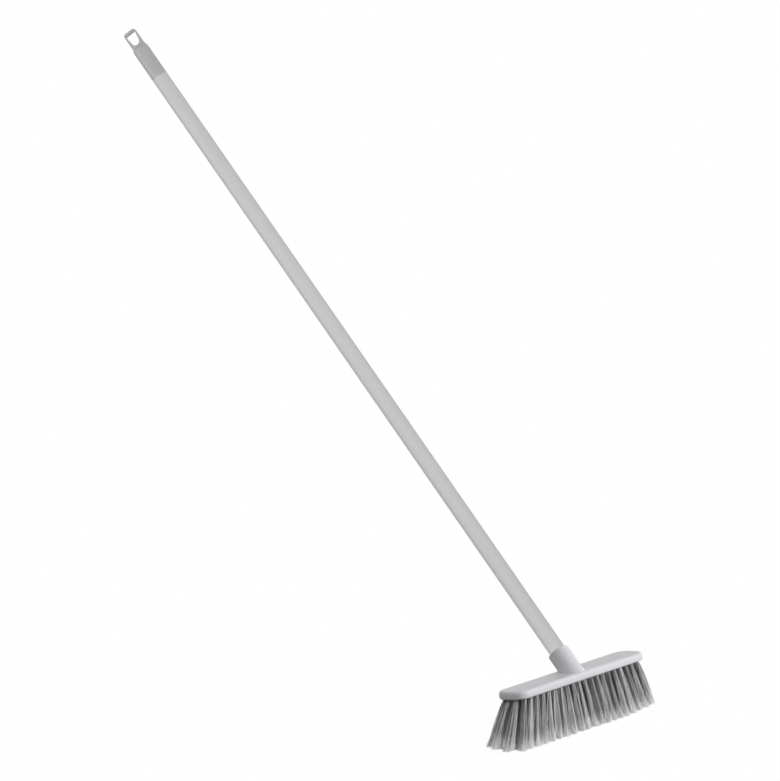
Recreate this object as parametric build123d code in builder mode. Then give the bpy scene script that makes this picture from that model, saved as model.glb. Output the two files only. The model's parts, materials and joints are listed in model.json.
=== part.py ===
from build123d import *
import math
import os

os.makedirs("parts", exist_ok=True)

# Broom with a moulded head, set tufts and a coated steel handle that screws into the head.
# The head lies along X with its tuft tips on the floor at z = 0, and the handle leans
# back towards +Y.  The origin is on the floor under the middle of the head.

# Head block
bristle_height = 72.0
block_length = 289.0
block_width = 53.0
block_thickness = 12.5
block_corner_radius = 20.0
block_top_round = 5.0
block_bottom_round = 3.3
block_top = bristle_height + block_thickness

# Underside recess for the tuft strips, and the blind hole above each tuft
rim_width = 3.6
strip_thickness = 3.0
strip_clearance = 0.05
tuft_hole_radius = 2.6
tuft_hole_depth = 3.5
tuft_root_radius = 2.5
tuft_root_height = 3.4

# Flat wire anchor that holds each folded tuft in its hole
anchor_length = 6.4
anchor_thickness = 0.5
anchor_height = 2.0
anchor_lift = 1.2

# Rows of tufts
tuft_pitch = 13.3
outer_row_y = 19.0
inner_row_y = 6.35
outer_row_tufts = 20
inner_row_tufts = 21

# Strands of a tuft: one in the middle and a ring round it, spreading towards the tips
strands_in_ring = 5
strand_side = 1.2
strand_length = 78.5
end_trim = 11.0
strand_root_ring = 1.9
strand_tip_ring = 5.4
strand_sink = 1.0
ring_twist = 18.0
tip_y_ratio = 1.46
floor_cut = 0.5

# How far the end tufts of each row lean out, at the -X end and at the +X end
fan_reference_x = 133.0
front_fan = (32.0, 9.0)
front_inner_fan = (34.0, 18.0)
back_inner_fan = (37.0, 20.0)
back_fan = (39.5, 16.0)

# Handle line.  Distances along the handle are measured from the top of the block.
handle_lean = 36.5
socket_offset_y = -1.6

# Socket
socket_mouth = 36.0
socket_mouth_radius = 16.5
socket_foot_radius = 16.9
socket_rim_round = 1.2
socket_foot_round = 0.8
socket_run_on = 30.0
counterbore_radius = 13.2
counterbore_floor = 24.0
counterbore_chamfer = 0.6
bore_floor = 1.8
bore_radius = 8.9
join_depth = 1.0

# Right-handed screw thread of the handle, and the wider groove that it turns in
thread_pitch = 5.0
thread_start = 6.0
thread_turns = 3.2
thread_crest_radius = 10.4
thread_core_radius = 8.4
thread_crest_half = 0.7
thread_flank = 0.2955
thread_root_sink = 0.3
thread_tip_chamfer = 1.0
groove_clearance = 0.35
groove_root_radius = 10.8
groove_run_on = 2.0

# Handle tube, its coating and its two end fittings
tube_outer_radius = 12.1
tube_inner_radius = 11.7
tube_end_gap = 0.3
coating_inner_radius = 12.2
coating_outer_radius = 12.5
coating_bottom = 26.0
coating_top = 1120.0
fitting_radius = 12.4
plug_radius = 11.35
plug_rib_radius = 11.6
plug_rib_height = 1.5
plug_rib_pitch = 7.0
plug_rib_start = 3.0
plug_ribs = 4
collar_bottom = 24.3
threaded_tip = 4.0
threaded_plug_top = 56.0
threaded_core_radius = 6.0
threaded_core_floor = 11.0

# Hanger cap with its flat loop
cap_plug_bottom = 1085.0
cap_shoulder = 1174.0
cap_core_radius = 9.4
cap_core_top = 1160.0
loop_foot = 1182.0
loop_foot_width = 20.8
loop_foot_corner = 2.4
loop_top = 1208.5
loop_top_width = 20.2
loop_thickness = 5.6
loop_corner = 4.5
loop_edge_round = 0.6
loop_turn = 32.0
eye_top = 1203.8
eye_bottom = 1183.5
eye_top_width = 16.8
eye_corner = 1.6
eye_bottom_radius = 6.4

lean_sin = math.sin(math.radians(handle_lean))
lean_cos = math.cos(math.radians(handle_lean))
handle_frame = Plane(
    origin=(0, socket_offset_y, block_top),
    x_dir=(1, 0, 0),
    z_dir=(0, lean_sin, lean_cos),
)


def along_handle(distance):
    return handle_frame.offset(distance)


# Plane of the hanger loop: its Y runs up the handle and its Z goes through the eye
turn = math.radians(loop_turn)
eye_normal = handle_frame.x_dir * math.cos(turn) + handle_frame.y_dir * math.sin(turn)
eye_across = handle_frame.z_dir.cross(eye_normal)
loop_plane = Plane(origin=handle_frame.origin, x_dir=eye_across, z_dir=eye_normal)
loop_foot_plane = Plane(
    origin=along_handle(loop_foot).origin,
    x_dir=eye_across,
    z_dir=handle_frame.z_dir,
)


def row_positions(y, count):
    return [((i - (count - 1) / 2) * tuft_pitch, y) for i in range(count)]


# Tip of a tuft: it leans out with its distance from the middle, and the tufts get a little
# shorter towards the +X end
def tuft_tip(x, y, fan):
    lean = fan[0] if x < 0 else fan[1]
    length = strand_length - max(x, 0) / fan_reference_x * end_trim
    dx = x / fan_reference_x * lean
    dy = y * (tip_y_ratio - 1)
    drop = math.sqrt(length**2 - dx**2 - dy**2)
    return x + dx, y + dy, max(bristle_height - drop, -floor_cut)


def strand_offsets(twist):
    offsets = [(0.0, 0.0)]
    for i in range(strands_in_ring):
        a = math.radians(twist + 360 * i / strands_in_ring)
        offsets.append((math.cos(a), math.sin(a)))
    return offsets


# One strand: a square rod that starts a little inside its strip and ends at its own tip
def make_strand(root, tip):
    run = Vector(tip) - Vector(root)
    start = Vector(root) + run * (strand_sink / run.Z)
    with BuildPart() as strand:
        with BuildSketch(Plane(origin=start, x_dir=(1, 0, 0), z_dir=run)):
            Rectangle(strand_side, strand_side)
        extrude(amount=(Vector(tip) - start).length)
    return strand.part


def row_strands(places, fan):
    strands = []
    for number, (x, y) in enumerate(places):
        tip_x, tip_y, tip_z = tuft_tip(x, y, fan)
        for ox, oy in strand_offsets(ring_twist * (1 + 2 * (number % 2))):
            root = (x + ox * strand_root_ring, y + oy * strand_root_ring, bristle_height)
            tip = (tip_x + ox * strand_tip_ring, tip_y + oy * strand_tip_ring, tip_z)
            strands.append(make_strand(root, tip))
    return strands


# One row of tufts: a slice of the underside, with the folded roots above and the strands below
def make_row(places, slice_low, slice_high, fan):
    strands = row_strands(places, fan)
    with BuildPart() as row:
        with BuildSketch(Plane.XY.offset(bristle_height)):
            RectangleRounded(
                block_length - 2 * (rim_width + strip_clearance),
                block_width - 2 * (rim_width + strip_clearance),
                block_corner_radius - rim_width,
            )
            with Locations((0, (slice_low + slice_high) / 2)):
                Rectangle(block_length, slice_high - slice_low, mode=Mode.INTERSECT)
        extrude(amount=strip_thickness)
        with BuildSketch(Plane.XY.offset(bristle_height + strip_thickness)):
            with Locations(*places):
                Circle(tuft_root_radius)
        extrude(amount=tuft_root_height)
        with BuildSketch(Plane.XY.offset(bristle_height + strip_thickness + anchor_lift)):
            with Locations(*places):
                Rectangle(anchor_length, anchor_thickness)
        extrude(amount=anchor_height, mode=Mode.SUBTRACT)
        add(strands)
        split(bisect_by=Plane.XY, keep=Keep.TOP)
    return row


# Anchors of one row: a flat piece of wire across each folded tuft
def make_anchors(places):
    with BuildPart() as anchors:
        with BuildSketch(Plane.XY.offset(bristle_height + strip_thickness + anchor_lift)):
            with Locations(*places):
                Rectangle(anchor_length, anchor_thickness)
        extrude(amount=anchor_height)
    return anchors


# Helical ridge or groove round Z whose flanks spread towards its inner radius
def make_helix(turns, inner, outer, widening):
    outer_half = thread_crest_half + (thread_crest_radius - outer) * thread_flank + widening
    inner_half = thread_crest_half + (thread_crest_radius - inner) * thread_flank + widening
    with BuildPart() as helix:
        with BuildLine() as path:
            Helix(pitch=thread_pitch, height=turns * thread_pitch, radius=thread_core_radius)
        with BuildSketch(Plane.XZ) as profile:
            with BuildLine():
                Polyline(
                    (inner, -inner_half),
                    (outer, -outer_half),
                    (outer, outer_half),
                    (inner, inner_half),
                    close=True,
                )
            make_face()
        sweep(sections=profile.sketch, path=path.line, is_frenet=True)
    return helix.part


# Room for the handle in the socket, upright: counterbore, bore and screw groove.
# The groove starts half a turn below the thread, on the opposite side.
groove_turns = (counterbore_floor + groove_run_on - thread_start) / thread_pitch + 0.5
groove = make_helix(groove_turns, bore_radius - thread_root_sink, groove_root_radius, groove_clearance)
groove_place = Location((0, 0, thread_start - thread_pitch / 2), (0, 0, 180))
with BuildPart() as socket_room:
    with BuildSketch(Plane.XY.offset(bore_floor)):
        Circle(bore_radius)
    extrude(amount=counterbore_floor - bore_floor + join_depth)
    add(groove.moved(groove_place))
    with BuildSketch(Plane.XY.offset(counterbore_floor)):
        Circle(counterbore_radius)
    extrude(amount=socket_mouth - counterbore_floor)
    with BuildSketch(Plane.XY.offset(socket_mouth - counterbore_chamfer)):
        Circle(counterbore_radius)
    with BuildSketch(Plane.XY.offset(socket_mouth + join_depth)):
        Circle(counterbore_radius + counterbore_chamfer + join_depth)
    loft()

# Socket outside: a slightly drafted round boss that leans with the handle.  It runs on below
# the top of the block, and is cut level a little inside it.
draft = (socket_foot_radius - socket_mouth_radius) / socket_mouth
with BuildPart() as socket_boss:
    with BuildSketch(along_handle(-socket_run_on)):
        Circle(socket_foot_radius + socket_run_on * draft)
    with BuildSketch(along_handle(socket_mouth)):
        Circle(socket_mouth_radius)
    loft()
    fillet(socket_boss.faces().sort_by(Axis.Z)[-1].edges(), socket_rim_round)
    split(bisect_by=Plane.XY.offset(block_top - join_depth), keep=Keep.TOP)

# Places of the tufts in the four rows
front_places = row_positions(-outer_row_y, outer_row_tufts)
front_inner_places = row_positions(-inner_row_y, inner_row_tufts)
back_inner_places = row_positions(inner_row_y, inner_row_tufts)
back_places = row_positions(outer_row_y, outer_row_tufts)
all_places = front_places + front_inner_places + back_inner_places + back_places

# Head block with its socket, strip recess, tuft holes and anchor slots
with BuildPart() as brush_block:
    with BuildSketch(Plane.XY.offset(bristle_height)):
        RectangleRounded(block_length, block_width, block_corner_radius)
    extrude(amount=block_thickness)
    fillet(brush_block.faces().sort_by(Axis.Z)[-1].edges(), block_top_round)
    fillet(brush_block.faces().sort_by(Axis.Z)[0].edges(), block_bottom_round)
    add(socket_boss.part)
    fillet(brush_block.edges().filter_by(GeomType.ELLIPSE), socket_foot_round)
    add(handle_frame.location * socket_room.part, mode=Mode.SUBTRACT)
    with BuildSketch(Plane.XY.offset(bristle_height)):
        RectangleRounded(
            block_length - 2 * rim_width,
            block_width - 2 * rim_width,
            block_corner_radius - rim_width,
        )
    extrude(amount=strip_thickness, mode=Mode.SUBTRACT)
    with BuildSketch(Plane.XY.offset(bristle_height + strip_thickness)):
        with Locations(*all_places):
            Circle(tuft_hole_radius)
    extrude(amount=tuft_hole_depth, mode=Mode.SUBTRACT)
    with BuildSketch(Plane.XY.offset(bristle_height + strip_thickness + anchor_lift)):
        with Locations(*all_places):
            Rectangle(anchor_length, anchor_thickness)
    extrude(amount=anchor_height, mode=Mode.SUBTRACT)
brush_block.part.label = "brush_block"
export_step(brush_block.part, "parts/brush_block.step")

# Four rows of tufts, each with its slice of the underside
slice_edge = block_width / 2 - rim_width
slice_step = (outer_row_y + inner_row_y) / 2

tuft_row_front = make_row(front_places, -slice_edge, -slice_step, front_fan)
tuft_row_front.part.label = "tuft_row_front"
export_step(tuft_row_front.part, "parts/tuft_row_front.step")

tuft_row_front_inner = make_row(front_inner_places, -slice_step, 0, front_inner_fan)
tuft_row_front_inner.part.label = "tuft_row_front_inner"
export_step(tuft_row_front_inner.part, "parts/tuft_row_front_inner.step")

tuft_row_back_inner = make_row(back_inner_places, 0, slice_step, back_inner_fan)
tuft_row_back_inner.part.label = "tuft_row_back_inner"
export_step(tuft_row_back_inner.part, "parts/tuft_row_back_inner.step")

tuft_row_back = make_row(back_places, slice_step, slice_edge, back_fan)
tuft_row_back.part.label = "tuft_row_back"
export_step(tuft_row_back.part, "parts/tuft_row_back.step")

# Anchors of the four rows
anchors_front = make_anchors(front_places)
anchors_front.part.label = "anchors_front"
export_step(anchors_front.part, "parts/anchors_front.step")

anchors_front_inner = make_anchors(front_inner_places)
anchors_front_inner.part.label = "anchors_front_inner"
export_step(anchors_front_inner.part, "parts/anchors_front_inner.step")

anchors_back_inner = make_anchors(back_inner_places)
anchors_back_inner.part.label = "anchors_back_inner"
export_step(anchors_back_inner.part, "parts/anchors_back_inner.step")

anchors_back = make_anchors(back_places)
anchors_back.part.label = "anchors_back"
export_step(anchors_back.part, "parts/anchors_back.step")

# Steel tube of the handle
with BuildPart() as steel_tube:
    with BuildSketch(along_handle(coating_bottom + tube_end_gap)):
        Circle(tube_outer_radius)
        Circle(tube_inner_radius, mode=Mode.SUBTRACT)
    extrude(amount=coating_top - coating_bottom - 2 * tube_end_gap)
steel_tube.part.label = "steel_tube"
export_step(steel_tube.part, "parts/steel_tube.step")

# Plastic coating of the tube
with BuildPart() as handle_coating:
    with BuildSketch(along_handle(coating_bottom)):
        Circle(coating_outer_radius)
        Circle(coating_inner_radius, mode=Mode.SUBTRACT)
    extrude(amount=coating_top - coating_bottom)
handle_coating.part.label = "handle_coating"
export_step(handle_coating.part, "parts/handle_coating.step")

# Threaded end fitting, upright: screw below, flush collar, hollow ribbed plug above
ridge = make_helix(thread_turns, thread_core_radius - thread_root_sink, thread_crest_radius, 0)
with BuildPart() as screw_fitting:
    with BuildSketch(Plane.XY.offset(threaded_tip)):
        Circle(thread_core_radius)
    extrude(amount=collar_bottom - threaded_tip)
    chamfer(screw_fitting.faces().sort_by(Axis.Z)[0].edges(), thread_tip_chamfer)
    add(ridge.moved(Location((0, 0, thread_start))))
    with BuildSketch(Plane.XY.offset(collar_bottom)):
        Circle(fitting_radius)
    extrude(amount=coating_bottom - collar_bottom)
    with BuildSketch(Plane.XY.offset(coating_bottom)):
        Circle(plug_radius)
    extrude(amount=threaded_plug_top - coating_bottom)
    for i in range(plug_ribs):
        with BuildSketch(Plane.XY.offset(threaded_plug_top - plug_rib_start - i * plug_rib_pitch)):
            Circle(plug_rib_radius)
        extrude(amount=plug_rib_height)
    with BuildSketch(Plane.XY.offset(threaded_core_floor)):
        Circle(threaded_core_radius)
    extrude(amount=threaded_plug_top - threaded_core_floor, mode=Mode.SUBTRACT)

with BuildPart() as threaded_end:
    add(handle_frame.location * screw_fitting.part)
threaded_end.part.label = "threaded_end"
export_step(threaded_end.part, "parts/threaded_end.step")

# Flat loop of the hanger cap.  The sides of its shield-shaped eye run into a round bottom.
eye_centre = eye_bottom + eye_bottom_radius
eye_height = eye_top - eye_centre
eye_half = eye_top_width / 2
eye_reach = math.hypot(eye_half, eye_height)
side_angle = math.atan2(eye_half, eye_height) + math.acos(eye_bottom_radius / eye_reach)
side_x = eye_bottom_radius * math.sin(side_angle)
side_y = eye_centre + eye_bottom_radius * math.cos(side_angle)
foot_half = loop_foot_width / 2
top_half = loop_top_width / 2
with BuildPart() as loop_plate:
    with BuildSketch(loop_plane) as plate:
        with BuildLine():
            Polyline(
                (-foot_half, cap_shoulder),
                (-foot_half, loop_foot),
                (-top_half, loop_top),
                (top_half, loop_top),
                (foot_half, loop_foot),
                (foot_half, cap_shoulder),
                close=True,
            )
        make_face()
        fillet(plate.vertices().sort_by(Axis.Y)[-2:], loop_corner)
    extrude(amount=loop_thickness / 2, both=True)
    with BuildSketch(loop_plane) as eye:
        with BuildLine():
            Polyline((-side_x, side_y), (-eye_half, eye_top), (eye_half, eye_top), (side_x, side_y))
            ThreePointArc((side_x, side_y), (0, eye_bottom), (-side_x, side_y))
        make_face()
        fillet(eye.vertices().sort_by(Axis.Y)[-2:], eye_corner)
    extrude(amount=loop_thickness, both=True, mode=Mode.SUBTRACT)
    flats = loop_plate.faces().filter_by(Axis((0, 0, 0), eye_normal))
    fillet(flats.edges(), loop_edge_round)

# Hanger cap: hollow ribbed plug in the tube, body flush with the coating, shoulder and loop
with BuildPart() as hanger_cap:
    with BuildSketch(along_handle(cap_plug_bottom)):
        Circle(plug_radius)
    extrude(amount=coating_top - cap_plug_bottom)
    for i in range(plug_ribs):
        with BuildSketch(along_handle(cap_plug_bottom + plug_rib_start + i * plug_rib_pitch)):
            Circle(plug_rib_radius)
        extrude(amount=plug_rib_height)
    with BuildSketch(along_handle(coating_top)):
        Circle(fitting_radius)
    extrude(amount=cap_shoulder - coating_top)
    with BuildSketch(along_handle(cap_shoulder)):
        Circle(fitting_radius)
    with BuildSketch(loop_foot_plane):
        RectangleRounded(loop_foot_width, loop_thickness, loop_foot_corner)
    loft()
    add(loop_plate.part)
    with BuildSketch(along_handle(cap_plug_bottom)):
        Circle(cap_core_radius)
    extrude(amount=cap_core_top - cap_plug_bottom, mode=Mode.SUBTRACT)
hanger_cap.part.label = "hanger_cap"
export_step(hanger_cap.part, "parts/hanger_cap.step")
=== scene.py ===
import json
import math
import random

import bmesh
import bpy
from mathutils import Matrix, Vector


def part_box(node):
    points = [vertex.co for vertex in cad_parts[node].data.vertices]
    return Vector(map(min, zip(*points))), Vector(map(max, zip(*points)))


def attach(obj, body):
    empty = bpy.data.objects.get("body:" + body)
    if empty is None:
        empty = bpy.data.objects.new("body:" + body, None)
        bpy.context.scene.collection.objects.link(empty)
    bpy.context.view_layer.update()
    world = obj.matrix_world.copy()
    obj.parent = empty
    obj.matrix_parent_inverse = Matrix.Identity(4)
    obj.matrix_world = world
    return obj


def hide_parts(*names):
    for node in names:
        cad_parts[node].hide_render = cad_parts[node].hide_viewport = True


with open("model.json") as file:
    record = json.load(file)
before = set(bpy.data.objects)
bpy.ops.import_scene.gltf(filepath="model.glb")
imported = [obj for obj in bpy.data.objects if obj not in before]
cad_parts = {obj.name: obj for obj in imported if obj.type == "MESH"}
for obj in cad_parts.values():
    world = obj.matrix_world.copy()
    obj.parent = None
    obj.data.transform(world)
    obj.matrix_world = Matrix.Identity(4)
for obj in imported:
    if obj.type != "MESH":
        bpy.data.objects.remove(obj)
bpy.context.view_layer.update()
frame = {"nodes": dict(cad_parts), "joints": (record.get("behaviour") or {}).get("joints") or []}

MM = 0.001
UP = Vector((0, 0, 1))

# Head sizes, from the block's box in the frame
block_low, block_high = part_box("brush_block")
BLOCK_THICKNESS = 12.5 * MM
BLOCK_LENGTH = block_high.x - block_low.x
BLOCK_WIDTH = -2 * block_low.y
UNDERSIDE = block_low.z
BLOCK_TOP = UNDERSIDE + BLOCK_THICKNESS

# Lean of the handle, from the joint that it turns on
turn_joint = next(joint for joint in frame["joints"] if joint["name"] == "handle_turn")
HANDLE_AXIS = Vector(turn_joint["axis"]).normalized()
HANDLE_LEAN = math.acos(HANDLE_AXIS.z)
HANDLE_NODES = ("handle_coating", "hanger_cap", "threaded_end", "steel_tube")

# Underside bed that the tufts come out of
BED_RIM = 3.65 * MM
BED_CORNER = 16.4 * MM
BED_CORNER_STEPS = 8
BED_THICKNESS = 2.9 * MM
BED_HOLE_RADIUS = 2.6 * MM
BED_HOLE_SIDES = 14

# Spread of a tuft: radius where it leaves the bed, radius at its tip, and how late it opens
FRONT_SPREAD = (2.2 * MM, 6.6 * MM, 1.5)
INNER_SPREAD = (2.5 * MM, 8.8 * MM, 0.7)
BACK_SPREAD = (2.5 * MM, 7.6 * MM, 0.72)

# Tuft rows: place across the head, number of tufts, their length, lean of the end tufts
# at -X and at +X, spread, and middle of their tones: the front row lighter as painted light,
# the inner rows darker as painted shade
TUFT_PITCH = 13.3 * MM
ROWS = {
    "front": (-19.0 * MM, 20, 78.5 * MM, (32.0 * MM, 9.0 * MM), FRONT_SPREAD, 0.55),
    "front_inner": (-6.35 * MM, 21, 78.5 * MM, (34.0 * MM, 18.0 * MM), INNER_SPREAD, 0.32),
    "back_inner": (6.35 * MM, 21, 77.5 * MM, (39.5 * MM, 20.0 * MM), INNER_SPREAD, 0.38),
    "back": (19.0 * MM, 20, 75.5 * MM, (39.5 * MM, 16.0 * MM), BACK_SPREAD, 0.46),
}

# Fan of the tufts: the place along the head where they lean as far as their row says, how much
# shorter they are there at +X, and how far they lean across the head for their place in it
FAN_REFERENCE = 133.0 * MM
END_TRIM = 11.0 * MM
TIP_SPREAD_Y = 0.46

# Filaments of a tuft, gathered in wisps, each split into finer flags at its tip
FILAMENTS = 140
WISPS = 15
FLAGS = 2
ROD_SIDES = 3
ROD_STEPS = 6
FLAG_STEPS = 2
FILAMENT_RADIUS = 0.24 * MM
FLAG_RADIUS = 0.13 * MM
TIP_TAPER = 0.5
ROOT_SINK = 1.5 * MM
FLOOR_GAP = 0.2 * MM
FIRST_SEED = 20
GOLDEN_TURN = math.pi * (3 - math.sqrt(5))

# How a tuft differs from its row
TUFT_SCATTER = 0.7 * MM
TUFT_TONE = 0.04

# How a wisp differs from its tuft
WISP_SCATTER = 0.1
WISP_PULL = 0.28
WISP_LIFT = 1.0 * MM
WISP_BOW = 1.0 * MM
WISP_TONE = 0.34
WISP_OPENING = (0.85, 1.2)

# How a filament differs from its wisp
FILAMENT_SCATTER = 0.3 * MM
FILAMENT_TONE = 0.1
TIP_DOME = 0.3 * MM
TIP_FRAY = 0.4 * MM

# Flags: where they leave their filament, how far they splay, rise and bend
FLAG_START = 0.78
FLAG_SLIDE = 0.2
FLAG_SPLAY = 1.3 * MM
FLAG_RISE = (0.3, 0.6)
FLAG_MIDDLE = 0.55
FLAG_BEND = 0.1

# Greys of the finishes, from dark to light, as sRGB levels, and what is added to red, green and blue
HEAD_GREYS = (211, 218)
CAP_GREYS = (186, 193)
FITTING_GREYS = (176, 184)
SLEEVE_GREYS = (216, 223)
STEEL_GREYS = (168, 196)
WIRE_GREYS = (172, 205)
# The root greys are painted shade: darker where the block shades the roots
FILAMENT_SHADED_ROOT_GREYS = (60, 190)
FILAMENT_BODY_GREYS = (78, 214)
FILAMENT_TIP_GREYS = (204, 242)
FLOOR_GREY = 145
NEUTRAL = (0, 0, 0)
LAVENDER = (0, 0, 4)
WARM = (2, 0, -2)

# Patterns of the finishes: their scales to a metre, depths of their bumps, and stretch up the handle
FLOW_CLOUDS = 14.0
MOULD_FLECKS = 420.0
MOULD_GRAIN = 1500.0
MOULD_DEPTH = 0.02 * MM
SLEEVE_STREAKS = 260.0
SLEEVE_DRIFT = 9.0
SLEEVE_PORES = 1300.0
SLEEVE_DEPTH = 0.004 * MM
DRAWING_LINES = 900.0
DRAWING_DEPTH = 0.01 * MM
WIRE_SPANGLE = 1400.0
FILAMENT_SPECKS = 700.0
STREAK_STRETCH = (1, 1, 40)
DRIFT_STRETCH = (1, 1, 4)
LINE_STRETCH = (1, 1, 50)

# Refraction of the plastics, which sets how strongly they shine
PLASTIC_IOR = 1.49
FILAMENT_IOR = 1.5

# Photograph's frame and where the middle of the block's top sits in it, in pixels
IMAGE_WIDTH = 780
IMAGE_HEIGHT = 781
BLOCK_TOP_PIXEL = (570.7, 671.1)
PIXELS_PER_METRE = 683.0

# Camera: turned from -Y towards -X, raised, rolled and set back
VIEW_AZIMUTH = math.radians(48.27)
VIEW_ELEVATION = math.radians(9.93)
VIEW_ROLL = math.radians(-7.41)
VIEW_DISTANCE = 12.0
VIEW_REACH = 100
SENSOR_WIDTH = 36.0

# Studio: the floor, its glow where it is seen, the light from all round and its stronger side
FLOOR_REACH = 40
FLOOR_GLOW = 1.22
FLOOR_GLOW_SHARE = 0.8
SKY_LEVEL = 0.28
SKY_SLOPE = 0.15
SKY_SIDE = Vector((0.5, -0.6, 0.62))
BACKDROP_RAYS = ("Is Camera Ray", "Is Glossy Ray", "Is Transmission Ray")

# Points that the lamps face
BLOCK_MIDDLE = (0, 0, BLOCK_TOP)
TUFT_MIDDLE = (0, 0, 0.04)
TUFT_END = (0.15, 0, 0.04)
HANDLE_MIDDLE = (0, 0.3, 0.65)
HANDLE_UPPER = (0, 0.45, 0.75)
UNDER_HANDLE = (0, 0.3, 0.3)

# Lamps: what they light, the point they face, their direction from it, their distance, side and level,
# and whether a shiny surface shows them
LAMPS = {
    "block_key": (("block",), BLOCK_MIDDLE, (0.5, -0.85, 0.16), 2.0, 0.8, 0.8, True),
    "overhead": (("block", "tufts"), BLOCK_MIDDLE, (-0.7, -0.1, 0.7), 2.0, 0.9, 0.17, True),
    "handle_left": (("handle",), HANDLE_MIDDLE, (-0.75, 0.65, 0.0), 5.0, 1.3, 0.37, True),
    "handle_front": (("handle",), HANDLE_UPPER, (-0.5, -0.76, 0.45), 2.5, 2.0, 0.53, True),
    "tuft_fill": (("tufts",), TUFT_MIDDLE, (-0.75, -0.62, 0.25), 3.0, 1.5, 0.12, True),
    "tuft_key": (("tufts",), TUFT_MIDDLE, (-0.2, -0.95, 0.3), 3.0, 1.0, 0.88, True),
    "tuft_end": (("tufts",), TUFT_END, (0.95, -0.25, 0.12), 3.0, 1.0, 0.8, True),
    "tuft_back": (("tufts",), TUFT_MIDDLE, (-0.3, 0.95, 0.3), 3.0, 1.0, 0.5, False),
    "back_wash": (("handle", "block", "tufts"), UNDER_HANDLE, (0.7, 0.7, 0.0), 3.0, 1.2, 0.7, False),
}


class Value:
    """A shader socket that takes part in Python arithmetic: each operator adds a Math node."""

    def __init__(self, finish, socket):
        self.finish = finish
        self.socket = socket

    def math(self, operation, first, second):
        return self.finish.node("ShaderNodeMath", {"operation": operation}, {0: first, 1: second})

    def __add__(self, other):
        return self.math("ADD", self, other)

    def __radd__(self, other):
        return self.math("ADD", other, self)

    def __sub__(self, other):
        return self.math("SUBTRACT", self, other)

    def __rsub__(self, other):
        return self.math("SUBTRACT", other, self)

    def __mul__(self, other):
        return self.math("MULTIPLY", self, other)

    def __rmul__(self, other):
        return self.math("MULTIPLY", other, self)


class Finish:
    """A material, or the world, in the making: its nodes and the shader that they feed."""

    def __init__(self, holder, shader="Principled BSDF"):
        holder.use_nodes = True
        self.holder = holder
        self.tree = holder.node_tree
        self.shader = self.tree.nodes[shader]

    def node(self, kind, settings, inputs, output=0):
        """Any node: its settings come first, then the values or links of its sockets."""
        made = self.tree.nodes.new(kind)
        for name, value in settings.items():
            setattr(made, name, value)
        for name, value in inputs.items():
            self.feed(made.inputs[name], value)
        return Value(self, made.outputs[output])

    def feed(self, socket, value):
        """Links a value to a socket, or sets a constant on it."""
        if isinstance(value, Value):
            self.tree.links.new(value.socket, socket)
        else:
            socket.default_value = value

    def surface(self, **sockets):
        """Feeds the shader's sockets and gives back what holds the nodes."""
        for name, value in sockets.items():
            self.feed(self.shader.inputs[name.replace("_", " ")], value)
        return self.holder

    def place(self):
        return self.node("ShaderNodeTexCoord", {}, {}, "Object")

    def drawn_out(self, place, stretch):
        """Object coordinates turned upright from the handle's lean, then shortened by the stretch."""
        inputs = {"Vector": place, "Rotation": (-HANDLE_LEAN, 0, 0), "Scale": stretch}
        return self.node("ShaderNodeMapping", {"vector_type": "TEXTURE"}, inputs)

    def noise(self, place, scale, detail=2.0):
        inputs = {"Vector": place, "Scale": scale, "Detail": detail}
        return self.node("ShaderNodeTexNoise", {}, inputs, "Fac")

    def attribute(self, name):
        return self.node("ShaderNodeAttribute", {"attribute_name": name}, {}, "Fac")

    def between(self, value, low, high):
        """0 below low, 1 above high, smooth between."""
        settings = {"interpolation_type": "SMOOTHSTEP"}
        return self.node("ShaderNodeMapRange", settings, {0: value, 1: low, 2: high})

    def mix(self, first, second, factor):
        inputs = {"Factor": factor, 6: first, 7: second}
        return self.node("ShaderNodeMix", {"data_type": "RGBA"}, inputs, 2)

    def greys(self, levels, factor, tint=NEUTRAL):
        """From the dark to the light one of two greys."""
        dark, light = levels
        return self.mix(grey(dark, tint), grey(light, tint), factor)

    def bump(self, height, distance):
        inputs = {"Height": height, "Distance": distance, "Strength": 1.0}
        return self.node("ShaderNodeBump", {}, inputs)

    def seen(self):
        """1 for rays from the camera and for those mirrored or let through by a surface."""
        rays = [self.node("ShaderNodeLightPath", {}, {}, kind) for kind in BACKDROP_RAYS]
        total = rays[0] + rays[1] + rays[2]
        return total.math("MINIMUM", total, 1.0)


def grey(level, tint=NEUTRAL):
    """A grey of an sRGB level from 0 to 255, with its tint added, made linear."""
    channels = [(level + shift) / 255 for shift in tint]
    return tuple(((c + 0.055) / 1.055) ** 2.4 for c in channels) + (1.0,)


def moulded_plastic(name, levels, tint=NEUTRAL):
    """Satin moulded plastic: faint flow clouds in its colour and shine, and a fine moulded grain."""
    finish = Finish(bpy.data.materials.new(name))
    place = finish.place()
    clouds = finish.between(finish.noise(place, FLOW_CLOUDS, detail=4.0), 0.3, 0.7)
    flecks = finish.noise(place, MOULD_FLECKS)
    grain = finish.noise(place, MOULD_GRAIN)
    return finish.surface(
        Base_Color=finish.greys(levels, 0.75 * clouds + 0.25 * flecks, tint),
        Roughness=0.40 + 0.10 * clouds + 0.08 * flecks,
        Normal=finish.bump(grain + 0.4 * flecks, MOULD_DEPTH),
        IOR=PLASTIC_IOR,
    )


def sleeve_coating():
    """Plastic film drawn over the tube: faint streaks up the handle and a soft satin shine."""
    finish = Finish(bpy.data.materials.new("sleeve_coating"))
    place = finish.place()
    streaks = finish.noise(finish.drawn_out(place, STREAK_STRETCH), SLEEVE_STREAKS, detail=3.0)
    drift = finish.noise(finish.drawn_out(place, DRIFT_STRETCH), SLEEVE_DRIFT)
    pores = finish.noise(place, SLEEVE_PORES)
    return finish.surface(
        Base_Color=finish.greys(SLEEVE_GREYS, 0.6 * streaks + 0.4 * drift),
        Roughness=0.48 + 0.12 * streaks + 0.06 * pores,
        Normal=finish.bump(streaks + 0.5 * pores, SLEEVE_DEPTH),
        IOR=PLASTIC_IOR,
    )


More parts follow.
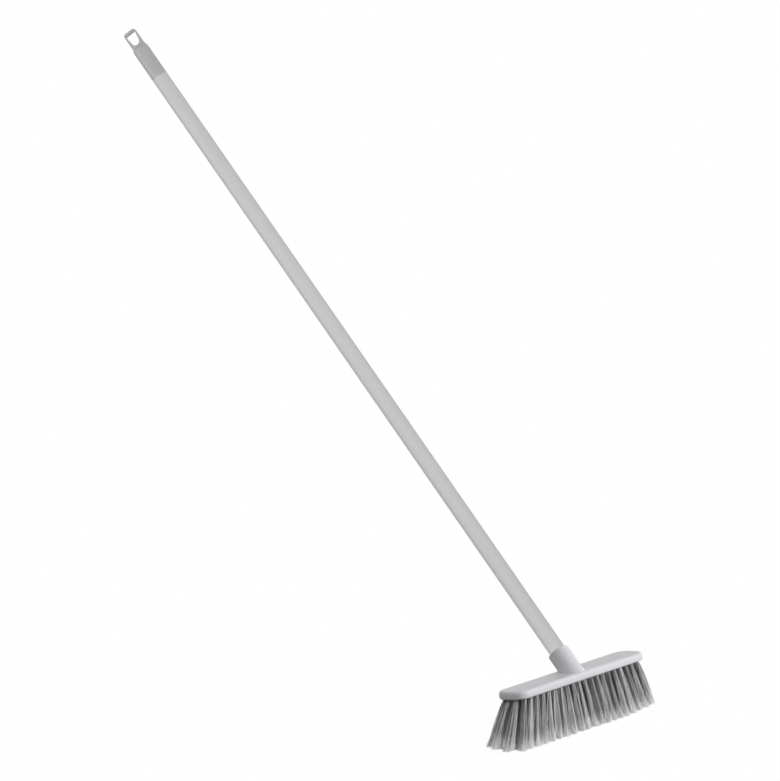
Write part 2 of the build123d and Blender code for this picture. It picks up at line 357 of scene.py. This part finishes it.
def bare_steel():
    """Thin-wall steel with drawing lines."""
    finish = Finish(bpy.data.materials.new("bare_steel"))
    lines = finish.noise(finish.drawn_out(finish.place(), LINE_STRETCH), DRAWING_LINES, detail=3.0)
    return finish.surface(
        Base_Color=finish.greys(STEEL_GREYS, lines),
        Roughness=0.28 + 0.2 * lines,
        Normal=finish.bump(lines, DRAWING_DEPTH),
        Metallic=1.0,
    )


def anchor_wire():
    """Flat galvanised wire with a dull spangle."""
    finish = Finish(bpy.data.materials.new("anchor_wire"))
    spangle = finish.noise(finish.place(), WIRE_SPANGLE)
    return finish.surface(
        Base_Color=finish.greys(WIRE_GREYS, spangle, WARM),
        Roughness=0.35 + 0.2 * spangle,
        Metallic=1.0,
    )


def tuft_filament():
    """Grey filament: darker at the root as painted shade under the block, paler where the tip is
    flagged, each filament its own tone.
    """
    finish = Finish(bpy.data.materials.new("tuft_filament"))
    along = finish.attribute("along")
    shade = finish.attribute("shade")
    strand = 0.88 * shade + 0.12 * finish.noise(finish.place(), FILAMENT_SPECKS)
    # Painted shade: the roots are darker, standing in for the block's shadow on them
    root = finish.greys(FILAMENT_SHADED_ROOT_GREYS, strand)
    body = finish.greys(FILAMENT_BODY_GREYS, strand)
    tip = finish.greys(FILAMENT_TIP_GREYS, shade)
    shank = finish.mix(root, body, finish.between(along, 0.05, 0.55))
    return finish.surface(
        Base_Color=finish.mix(shank, tip, finish.between(along, 0.66, 1.0)),
        Roughness=0.42 + 0.2 * along,
        IOR=FILAMENT_IOR,
    )


def dress(node, material):
    """Gives a carried-over solid its finish."""
    for slot in frame["nodes"][node].material_slots:
        slot.material = material


def new_mesh(name, mesh_data):
    """Turns a finished bmesh into a mesh."""
    mesh = bpy.data.meshes.new(name)
    mesh_data.to_mesh(mesh)
    mesh_data.free()
    return mesh


def new_object(name, data):
    """Puts a mesh, a lamp or a camera into the scene."""
    thing = bpy.data.objects.new(name, data)
    bpy.context.scene.collection.objects.link(thing)
    return thing


def new_piece(name, mesh_data, material, body):
    """Puts a finished bmesh into the scene as a named piece that rides on a body."""
    mesh = new_mesh(name, mesh_data)
    mesh.materials.append(material)
    piece = new_object(name, mesh)
    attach(piece, body)
    return piece


def row_positions(y, count):
    """Where the tufts of a row stand, evenly about the middle of the head."""
    return [((i - (count - 1) / 2) * TUFT_PITCH, y) for i in range(count)]


def make_bed(material):
    """Underside of the block inside its rim, with a round hole for each tuft."""
    bed = bmesh.new()
    half = Vector((BLOCK_LENGTH / 2 - BED_RIM, BLOCK_WIDTH / 2 - BED_RIM, 0))
    shape = Matrix.Translation((0, 0, UNDERSIDE)) @ Matrix.Diagonal((half.x, half.y, 1, 1))
    plate = bmesh.ops.create_grid(bed, x_segments=1, y_segments=1, size=1, matrix=shape)
    bmesh.ops.bevel(
        bed,
        geom=plate["verts"],
        affect="VERTICES",
        offset=BED_CORNER,
        segments=BED_CORNER_STEPS,
        profile=0.5,
        material=-1,
    )
    bmesh.ops.delete(bed, geom=bed.faces[:], context="FACES_ONLY")
    for row_y, count, *_ in ROWS.values():
        for x, y in row_positions(row_y, count):
            bmesh.ops.create_circle(
                bed,
                cap_ends=False,
                segments=BED_HOLE_SIDES,
                radius=BED_HOLE_RADIUS,
                matrix=Matrix.Translation((x, y, UNDERSIDE)),
            )
    filled = bmesh.ops.triangle_fill(bed, use_beauty=True, edges=bed.edges[:], normal=-UP)
    faces = [f for f in filled["geom"] if isinstance(f, bmesh.types.BMFace)]
    raised = bmesh.ops.extrude_face_region(bed, geom=faces, use_keep_orig=True)
    top = [v for v in raised["geom"] if isinstance(v, bmesh.types.BMVert)]
    bmesh.ops.translate(bed, verts=top, vec=UP * BED_THICKNESS)
    bmesh.ops.recalc_face_normals(bed, faces=bed.faces[:])
    # Extruding makes the walls in no fixed order, so the faces are put in one
    ordered = sorted(bed.faces, key=lambda face: tuple(face.calc_center_median()))
    for rank, face in enumerate(ordered):
        face.index = rank
    bed.faces.sort()
    return new_piece("tuft_bed", bed, material, "head")


def tuft_tip(x, y, length, fan):
    """Where a tuft's middle ends: it leans out along the head, and is shorter towards the +X end."""
    lean = fan[0] if x < 0 else fan[1]
    length -= max(x, 0) / FAN_REFERENCE * END_TRIM
    dx = x / FAN_REFERENCE * lean
    dy = y * TIP_SPREAD_Y
    drop = math.sqrt(length**2 - dx**2 - dy**2)
    return Vector((x + dx, y + dy, max(UNDERSIDE - drop, 0)))


class Rod:
    """A straight filament of unit length to copy, its tip at the origin and its root up Z."""

    def __init__(self, steps):
        rod = bmesh.new()
        bmesh.ops.create_cone(
            rod,
            cap_ends=True,
            segments=ROD_SIDES,
            radius1=TIP_TAPER,
            radius2=1.0,
            depth=1.0,
            matrix=Matrix.Translation((0, 0, 0.5)),
        )
        sides = [e for e in rod.edges if abs(e.verts[0].co.z - e.verts[1].co.z) > 0.5]
        bmesh.ops.subdivide_edges(rod, edges=sides, cuts=steps - 1, use_grid_fill=True)
        self.mesh = new_mesh("rod", rod)
        self.shape = [(v.co.x, v.co.y, round((1 - v.co.z) * steps)) for v in self.mesh.vertices]
        self.size = len(self.shape)


def make_bundle(rod, flag):
    """The loose filaments and flags of one tuft, as one mesh to copy."""
    bundle = bmesh.new()
    for _ in range(FILAMENTS):
        bundle.from_mesh(rod.mesh)
    for _ in range(FILAMENTS * FLAGS):
        bundle.from_mesh(flag.mesh)
    return new_mesh("bundle", bundle)


def disc_point(number, count):
    """One of count points spread evenly over the unit disc."""
    reach = math.sqrt((number + 0.5) / count)
    angle = number * GOLDEN_TURN
    return Vector((math.cos(angle), math.sin(angle), 0)) * reach


class TuftRow:
    """One row of tufts in the making: its mesh and the layers that its finish reads."""

    def __init__(self, seed, rod, flag, bundle):
        self.mesh = bmesh.new()
        self.along = self.mesh.verts.layers.float.new("along")
        self.shade = self.mesh.verts.layers.float.new("shade")
        self.draw = random.Random(seed)
        self.rod = rod
        self.flag = flag
        self.bundle = bundle

    def scatter(self, size):
        """A random step in the plane of the floor."""
        return Vector((self.draw.gauss(0, 1), self.draw.gauss(0, 1), 0)) * size

    def draw_wisps(self, tone, opening):
        """The middle, lift, bow, tone and opening of each wisp of a tuft."""
        draw = self.draw
        middles = [disc_point(n, WISPS) + self.scatter(WISP_SCATTER) for n in range(WISPS)]
        lifts = [WISP_LIFT * draw.gauss(0, 1)**2 for _ in range(WISPS)]
        bows = [self.scatter(WISP_BOW) for _ in range(WISPS)]
        tones = [tone + draw.uniform(-WISP_TONE, WISP_TONE) for _ in range(WISPS)]
        openings = [opening * draw.uniform(*WISP_OPENING) for _ in range(WISPS)]
        return list(zip(middles, lifts, bows, tones, openings))

    def filament_path(self, root, tip, near, far, opening, bow):
        """From inside the bed to the tip: tight at the root, spreading with the bow of its wisp."""
        bow = bow + self.scatter(FILAMENT_SCATTER)
        points = []
        for step in range(ROD_STEPS + 1):
            s = step / ROD_STEPS
            offset = near.lerp(far, s**opening)
            point = root.lerp(tip, s) + offset + bow * math.sin(math.pi * s)
            point.z = max(point.z, FLOOR_GAP)
            points.append(point)
        return points

    def flag_path(self, path):
        """A fine split of a tip, which leaves its filament and splays a little."""
        draw = self.draw
        start = path[-2].lerp(path[-1], draw.uniform(-FLAG_SLIDE, FLAG_SLIDE))
        splay = Vector((draw.gauss(0, 1), draw.gauss(0, 1), draw.gauss(*FLAG_RISE)))
        end = path[-1] + splay * FLAG_SPLAY
        end.z = max(end.z, FLOOR_GAP)
        middle = start.lerp(end, FLAG_MIDDLE) + splay * FLAG_SPLAY * FLAG_BEND
        return [start, middle, end]

    def lay(self, verts, shape, path, start, radius, shade):
        """Bends a straight copy along its path, turned at random round its own length."""
        turn = self.draw.uniform(0, 2 * math.pi)
        c, s = radius * math.cos(turn), radius * math.sin(turn)
        last = len(path) - 1
        for vert, (x, y, step) in zip(verts, shape):
            vert.co = path[step] + Vector((x * c - y * s, x * s + y * c, 0))
            vert[self.along] = start + (1 - start) * step / last
            vert[self.shade] = shade

    def add_bundle(self):
        """Adds the straight filaments and flags of one tuft and gives back the vertices of each."""
        first = len(self.mesh.verts)
        self.mesh.from_mesh(self.bundle)
        self.mesh.verts.ensure_lookup_table()
        verts = self.mesh.verts[first:]
        flags_from = FILAMENTS * self.rod.size
        rods = [verts[i:i + self.rod.size] for i in range(0, flags_from, self.rod.size)]
        flags = [verts[i:i + self.flag.size] for i in range(flags_from, len(verts), self.flag.size)]
        return rods, flags

    def add_tuft(self, x, y, tip, spread, tone):
        """Lays the filaments of one tuft, each in the wisp that it is nearest to, and their flags."""
        draw = self.draw
        root_radius, tip_radius, opening = spread
        root = Vector((x, y, UNDERSIDE + ROOT_SINK))
        tip = tip + self.scatter(TUFT_SCATTER)
        # The tone holds its row's painted light or shade, with a random spread for each tuft
        tone += draw.uniform(-TUFT_TONE, TUFT_TONE)
        wisps = self.draw_wisps(tone, opening)
        rods, flags = self.add_bundle()
        for number, rod_verts in enumerate(rods):
            place = disc_point(number, FILAMENTS)
            wisp = min(wisps, key=lambda one: (one[0] - place).length)
            middle, lift, bow, wisp_tone, wisp_opening = wisp
            far = place.lerp(middle, WISP_PULL) * tip_radius + self.scatter(FILAMENT_SCATTER)
            lift = lift + TIP_DOME * place.length_squared**2
            end = tip + UP * (lift + abs(draw.gauss(0, TIP_FRAY)))
            shade = min(max(wisp_tone + draw.gauss(0, FILAMENT_TONE), 0), 1)
            path = self.filament_path(root, end, place * root_radius, far, wisp_opening, bow)
            self.lay(rod_verts, self.rod.shape, path, 0.0, FILAMENT_RADIUS, shade)
            for flag_verts in flags[number * FLAGS:(number + 1) * FLAGS]:
                flag_path = self.flag_path(path)
                self.lay(flag_verts, self.flag.shape, flag_path, FLAG_START, FLAG_RADIUS, shade)


def make_tufts(material):
    """The four rows of tufts, each in place of its row of plain strands."""
    rod = Rod(ROD_STEPS)
    flag = Rod(FLAG_STEPS)
    bundle = make_bundle(rod, flag)
    pieces = []
    # Each row's middle tone is painted light on the front row and painted shade on the inner rows
    for number, (name, (row_y, count, length, fan, spread, tone)) in enumerate(ROWS.items()):
        row = TuftRow(FIRST_SEED + number, rod, flag, bundle)
        for x, y in row_positions(row_y, count):
            row.add_tuft(x, y, tuft_tip(x, y, length, fan), spread, tone)
        piece = new_piece("tufts_" + name, row.mesh, material, "head")
        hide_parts("tuft_row_" + name)
        pieces.append(piece)
    for mesh in (rod.mesh, flag.mesh, bundle):
        bpy.data.meshes.remove(mesh)
    return pieces


def make_camera():
    """Looks at the block's top from the photograph's side, then turns until it sits at its pixel."""
    sin_a, cos_a = math.sin(VIEW_AZIMUTH), math.cos(VIEW_AZIMUTH)
    sin_e, cos_e = math.sin(VIEW_ELEVATION), math.cos(VIEW_ELEVATION)
    level = Vector((cos_a, -sin_a, 0))
    rise = Vector((sin_a * sin_e, cos_a * sin_e, cos_e))
    right = level * math.cos(VIEW_ROLL) + rise * math.sin(VIEW_ROLL)
    up = rise * math.cos(VIEW_ROLL) - level * math.sin(VIEW_ROLL)
    back = right.cross(up)
    focus = PIXELS_PER_METRE * VIEW_DISTANCE
    across = BLOCK_TOP_PIXEL[0] - IMAGE_WIDTH / 2
    down = BLOCK_TOP_PIXEL[1] - IMAGE_HEIGHT / 2
    aside = Vector((across, -down, -focus)).rotation_difference(-UP)
    data = bpy.data.cameras.new("camera")
    data.sensor_width = SENSOR_WIDTH
    data.lens = SENSOR_WIDTH * focus / max(IMAGE_WIDTH, IMAGE_HEIGHT)
    data.clip_end = VIEW_REACH
    camera = new_object("camera", data)
    turn = Matrix((right, up, back)).transposed() @ aside.to_matrix()
    place = Vector(BLOCK_MIDDLE) + back * VIEW_DISTANCE
    camera.matrix_world = Matrix.Translation(place) @ turn.to_4x4()
    bpy.context.scene.camera = camera


def make_softbox(name, target, direction, distance, side, level):
    """A square lamp that lights a matt surface facing it to this share of its own colour."""
    data = bpy.data.lights.new(name, "AREA")
    data.size = side
    data.energy = level * math.pi**2 * distance**2
    lamp = new_object(name, data)
    aim = Vector(direction).normalized()
    lamp.location = Vector(target) + aim * distance
    lamp.rotation_mode = "QUATERNION"
    lamp.rotation_quaternion = aim.to_track_quat("Z", "Y")
    return lamp


def light_only(lamp, pieces):
    """Keeps a lamp's light on these pieces, as flags and barn doors do in a studio."""
    lit = bpy.data.collections.new(lamp.name + "_lit")
    for piece in pieces:
        lit.objects.link(piece)
    lamp.light_linking.receiver_collection = lit


def make_floor():
    """A pale floor that the camera sees nearly white, with the object's soft shadow kept."""
    plane = bmesh.new()
    bmesh.ops.create_grid(plane, x_segments=1, y_segments=1, size=FLOOR_REACH)
    mesh = new_mesh("floor", plane)
    paper = Finish(bpy.data.materials.new("floor"))
    paper.surface(Base_Color=grey(FLOOR_GREY), Roughness=0.9, Specular_IOR_Level=0.0)
    matt = Value(paper, paper.shader.outputs[0])
    glow = paper.node("ShaderNodeEmission", {}, {"Strength": FLOOR_GLOW})
    share = FLOOR_GLOW_SHARE * paper.seen()
    mixed = paper.node("ShaderNodeMixShader", {}, {0: share, 1: matt, 2: glow})
    paper.feed(paper.tree.nodes["Material Output"].inputs["Surface"], mixed)
    mesh.materials.append(paper.holder)
    floor = new_object("floor", mesh)


def make_world():
    """Soft light from all round, stronger on one side, and white where it is seen."""
    sky = Finish(bpy.data.worlds.new("studio"), "Background")
    direction = sky.node("ShaderNodeTexCoord", {}, {}, "Generated")
    settings = {"operation": "DOT_PRODUCT"}
    facing = sky.node("ShaderNodeVectorMath", settings, {0: direction, 1: SKY_SIDE}, "Value")
    soft = SKY_LEVEL + SKY_SLOPE * facing
    strength = soft + sky.seen() * (1.0 - soft)
    bpy.context.scene.world = sky.surface(Strength=strength, Color=(1, 1, 1, 1))


# Finishes of the solids
head_plastic = moulded_plastic("head_plastic", HEAD_GREYS, LAVENDER)
wire = anchor_wire()
dress("brush_block", head_plastic)
dress("hanger_cap", moulded_plastic("cap_plastic", CAP_GREYS))
dress("threaded_end", moulded_plastic("fitting_plastic", FITTING_GREYS))
dress("handle_coating", sleeve_coating())
dress("steel_tube", bare_steel())
for row_name in ROWS:
    dress("anchors_" + row_name, wire)

# Pieces made here
tuft_bed = make_bed(head_plastic)
tuft_pieces = make_tufts(tuft_filament())

# Studio
make_camera()
lit_pieces = {
    "handle": [frame["nodes"][node] for node in HANDLE_NODES],
    "block": [frame["nodes"]["brush_block"], tuft_bed],
    "tufts": tuft_pieces,
}
for lamp_name, (groups, target, direction, distance, side, level, shown) in LAMPS.items():
    lamp = make_softbox(lamp_name, target, direction, distance, side, level)
    lamp.visible_glossy = shown
    light_only(lamp, [piece for group in groups for piece in lit_pieces[group]])
make_floor()
make_world()
bpy.context.scene.view_settings.view_transform = "Standard"
